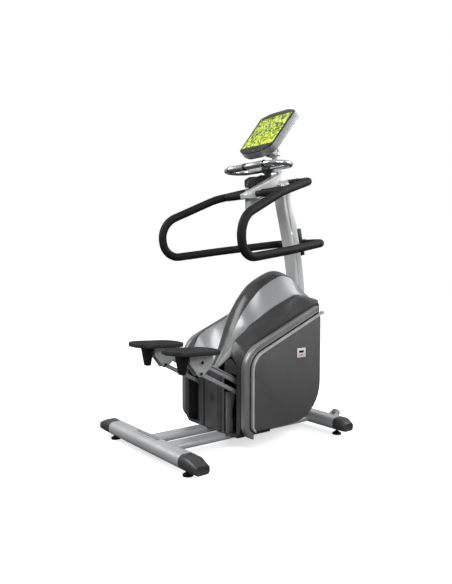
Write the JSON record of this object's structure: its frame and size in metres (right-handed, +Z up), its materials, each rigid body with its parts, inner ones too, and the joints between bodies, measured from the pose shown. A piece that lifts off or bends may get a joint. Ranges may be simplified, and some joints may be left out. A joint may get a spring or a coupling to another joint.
{
  "type": "stair climber",
  "caption": "Gym stair climber with two independent pedals on parallel linkages, moulded drive covers, curved mast, foam side bars, pulse bar and tilting console.",
  "frame": {"origin": "on the floor, on the mid-plane, half way along the base", "axes": "+X the user's right, +Y the way the user faces, +Z up"},
  "size_m": [0.9, 1.089, 1.7385],
  "materials": {
    "silver_paint": "satin silver powder coat",
    "mast_silver": "satin anodised",
    "cap_dark": "moulded",
    "foot_rubber": "matte",
    "wheel_rubber": "matte",
    "block_rubber": "matte",
    "belt_rubber": "matte",
    "bright_steel": "bright",
    "drive_steel": "oiled",
    "frame_paint": "satin",
    "post_paint": "satin",
    "arm_paint": "satin",
    "bracket_paint": "satin",
    "pulley_iron": "as cast",
    "alternator_body": "cast",
    "tread_plastic": "ribbed",
    "cover_dark": "fine grain",
    "column_grey": "fine grain",
    "band_silver": "metallic",
    "panel_grey": "metallic",
    "trim_light": "satin",
    "saddle_grey": "metallic",
    "crown_silver": "metallic silver",
    "hump_dark": "metallic",
    "badge_white": "gloss",
    "clamp_black": "satin",
    "tube_black": "satin black",
    "grip_foam": "closed-cell foam",
    "pulse_chrome": "polished",
    "pulse_pads": "brushed",
    "console_silver": "metallic silver",
    "console_black": "gloss",
    "screen_glass": "anti-glare"
  },
  "bodies": {
    "base": {"rear_stabilizer": "silver_paint", "front_stabilizer": "silver_paint", "rear_caps": "cap_dark", "front_caps": "cap_dark", "wheel_axles": "bright_steel", "base_rails": "silver_paint", "saddle_plate": "silver_paint", "base_fasteners": "bright_steel", "drive_frame": "frame_paint", "upper_axle": "bright_steel", "lower_axle": "bright_steel", "stop_posts": "post_paint", "chains": "drive_steel", "return_springs": "bright_steel", "drive_belt": "belt_rubber", "alternator": "alternator_body", "main_cover": "cover_dark", "column_cover": "column_grey", "edge_bands": "band_silver", "side_panels": "panel_grey", "bead_trims": "trim_light", "saddles": "saddle_grey", "crowns": "crown_silver", "hump": "hump_dark", "front_cover": "cover_dark", "badge_plate": "badge_white", "mast": "mast_silver", "bar_clamps": "clamp_black", "handlebar_tubes": "tube_black", "handlebar_grips": "grip_foam", "bottle_holder": "mast_silver", "bottle_sleeve": "clamp_black", "pulse_bar": "pulse_chrome", "pulse_grips": "pulse_pads", "pulse_clamp": "clamp_black", "neck": "mast_silver"},
    "upper_arm_left": {"upper_arm_left": "arm_paint"},
    "lower_arm_left": {"lower_arm_left": "arm_paint"},
    "pedal_left": {"pedal_bracket_left": "bracket_paint", "pedal_tread_left": "tread_plastic", "heel_block_left": "block_rubber"},
    "wheel_left": {"transport_wheel_left": "wheel_rubber"},
    "upper_arm_right": {"upper_arm_right": "arm_paint"},
    "lower_arm_right": {"lower_arm_right": "arm_paint"},
    "pedal_right": {"pedal_bracket_right": "bracket_paint", "pedal_tread_right": "tread_plastic", "heel_block_right": "block_rubber"},
    "wheel_right": {"transport_wheel_right": "wheel_rubber"},
    "drive_shaft": {"input_shaft": "bright_steel", "drive_pulley": "pulley_iron", "sprocket_left": "drive_steel", "sprocket_right": "drive_steel"},
    "rotor": {"rotor_pulley": "bright_steel"},
    "foot_rear_left": {"foot_rear_left": "foot_rubber"},
    "foot_rear_right": {"foot_rear_right": "foot_rubber"},
    "foot_front_left": {"foot_front_left": "foot_rubber"},
    "foot_front_right": {"foot_front_right": "foot_rubber"},
    "console": {"console_housing": "console_silver", "console_face": "console_black", "console_screen": "screen_glass"}
  },
  "joints": [
    {"name": "step_left", "type": "hinge", "parent": "base", "child": "upper_arm_left", "pos_m": [-0.158, 0.119, 0.226], "axis": [1, 0, 0], "range_deg": [0, 33], "stiffness_Nm_per_rad": 70, "springref_deg": -57.3},
    {"name": "lower_link_left", "type": "hinge", "parent": "base", "child": "lower_arm_left", "pos_m": [-0.158, 0.113, 0.174], "axis": [1, 0, 0], "range_deg": [0, 33]},
    {"name": "pedal_pivot_left", "type": "hinge", "parent": "upper_arm_left", "child": "pedal_left", "pos_m": [-0.158, -0.30482, 0.45135], "axis": [1, 0, 0], "range_deg": [-33, 0]},
    {"name": "wheel_spin_left", "type": "hinge", "parent": "base", "child": "wheel_left", "pos_m": [-0.25, 0.538, 0.101], "axis": [1, 0, 0], "continuous": true},
    {"name": "step_right", "type": "hinge", "parent": "base", "child": "upper_arm_right", "pos_m": [0.158, 0.119, 0.226], "axis": [1, 0, 0], "range_deg": [0, 33], "stiffness_Nm_per_rad": 70, "springref_deg": -57.3},
    {"name": "lower_link_right", "type": "hinge", "parent": "base", "child": "lower_arm_right", "pos_m": [0.158, 0.113, 0.174], "axis": [1, 0, 0], "range_deg": [0, 33]},
    {"name": "pedal_pivot_right", "type": "hinge", "parent": "upper_arm_right", "child": "pedal_right", "pos_m": [0.158, -0.30482, 0.45135], "axis": [1, 0, 0], "range_deg": [-33, 0]},
    {"name": "wheel_spin_right", "type": "hinge", "parent": "base", "child": "wheel_right", "pos_m": [0.25, 0.538, 0.101], "axis": [1, 0, 0], "continuous": true},
    {"name": "drive_spin", "type": "hinge", "parent": "base", "child": "drive_shaft", "pos_m": [0, 0.08, 0.43], "axis": [1, 0, 0], "continuous": true},
    {"name": "rotor_spin", "type": "hinge", "parent": "base", "child": "rotor", "pos_m": [0, 0.24, 0.29], "axis": [1, 0, 0], "continuous": true},
    {"name": "level_rear_left", "type": "slide", "parent": "base", "child": "foot_rear_left", "axis": [0, 0, -1], "range_m": [0, 0.012]},
    {"name": "level_rear_right", "type": "slide", "parent": "base", "child": "foot_rear_right", "axis": [0, 0, -1], "range_m": [0, 0.012]},
    {"name": "level_front_left", "type": "slide", "parent": "base", "child": "foot_front_left", "axis": [0, 0, -1], "range_m": [0, 0.012]},
    {"name": "level_front_right", "type": "slide", "parent": "base", "child": "foot_front_right", "axis": [0, 0, -1], "range_m": [0, 0.012]},
    {"name": "console_tilt", "type": "hinge", "parent": "base", "child": "console", "pos_m": [0, 0.3, 1.5], "axis": [1, 0, 0], "range_deg": [-10, 10]}
  ],
  "couplings": [
    {"joint": "lower_link_left", "follows": "step_left", "ratio": 1},
    {"joint": "pedal_pivot_left", "follows": "step_left", "ratio": -1},
    {"joint": "lower_link_right", "follows": "step_right", "ratio": 1},
    {"joint": "pedal_pivot_right", "follows": "step_right", "ratio": -1},
    {"joint": "rotor_spin", "follows": "drive_spin", "ratio": 4.7727}
  ]
}
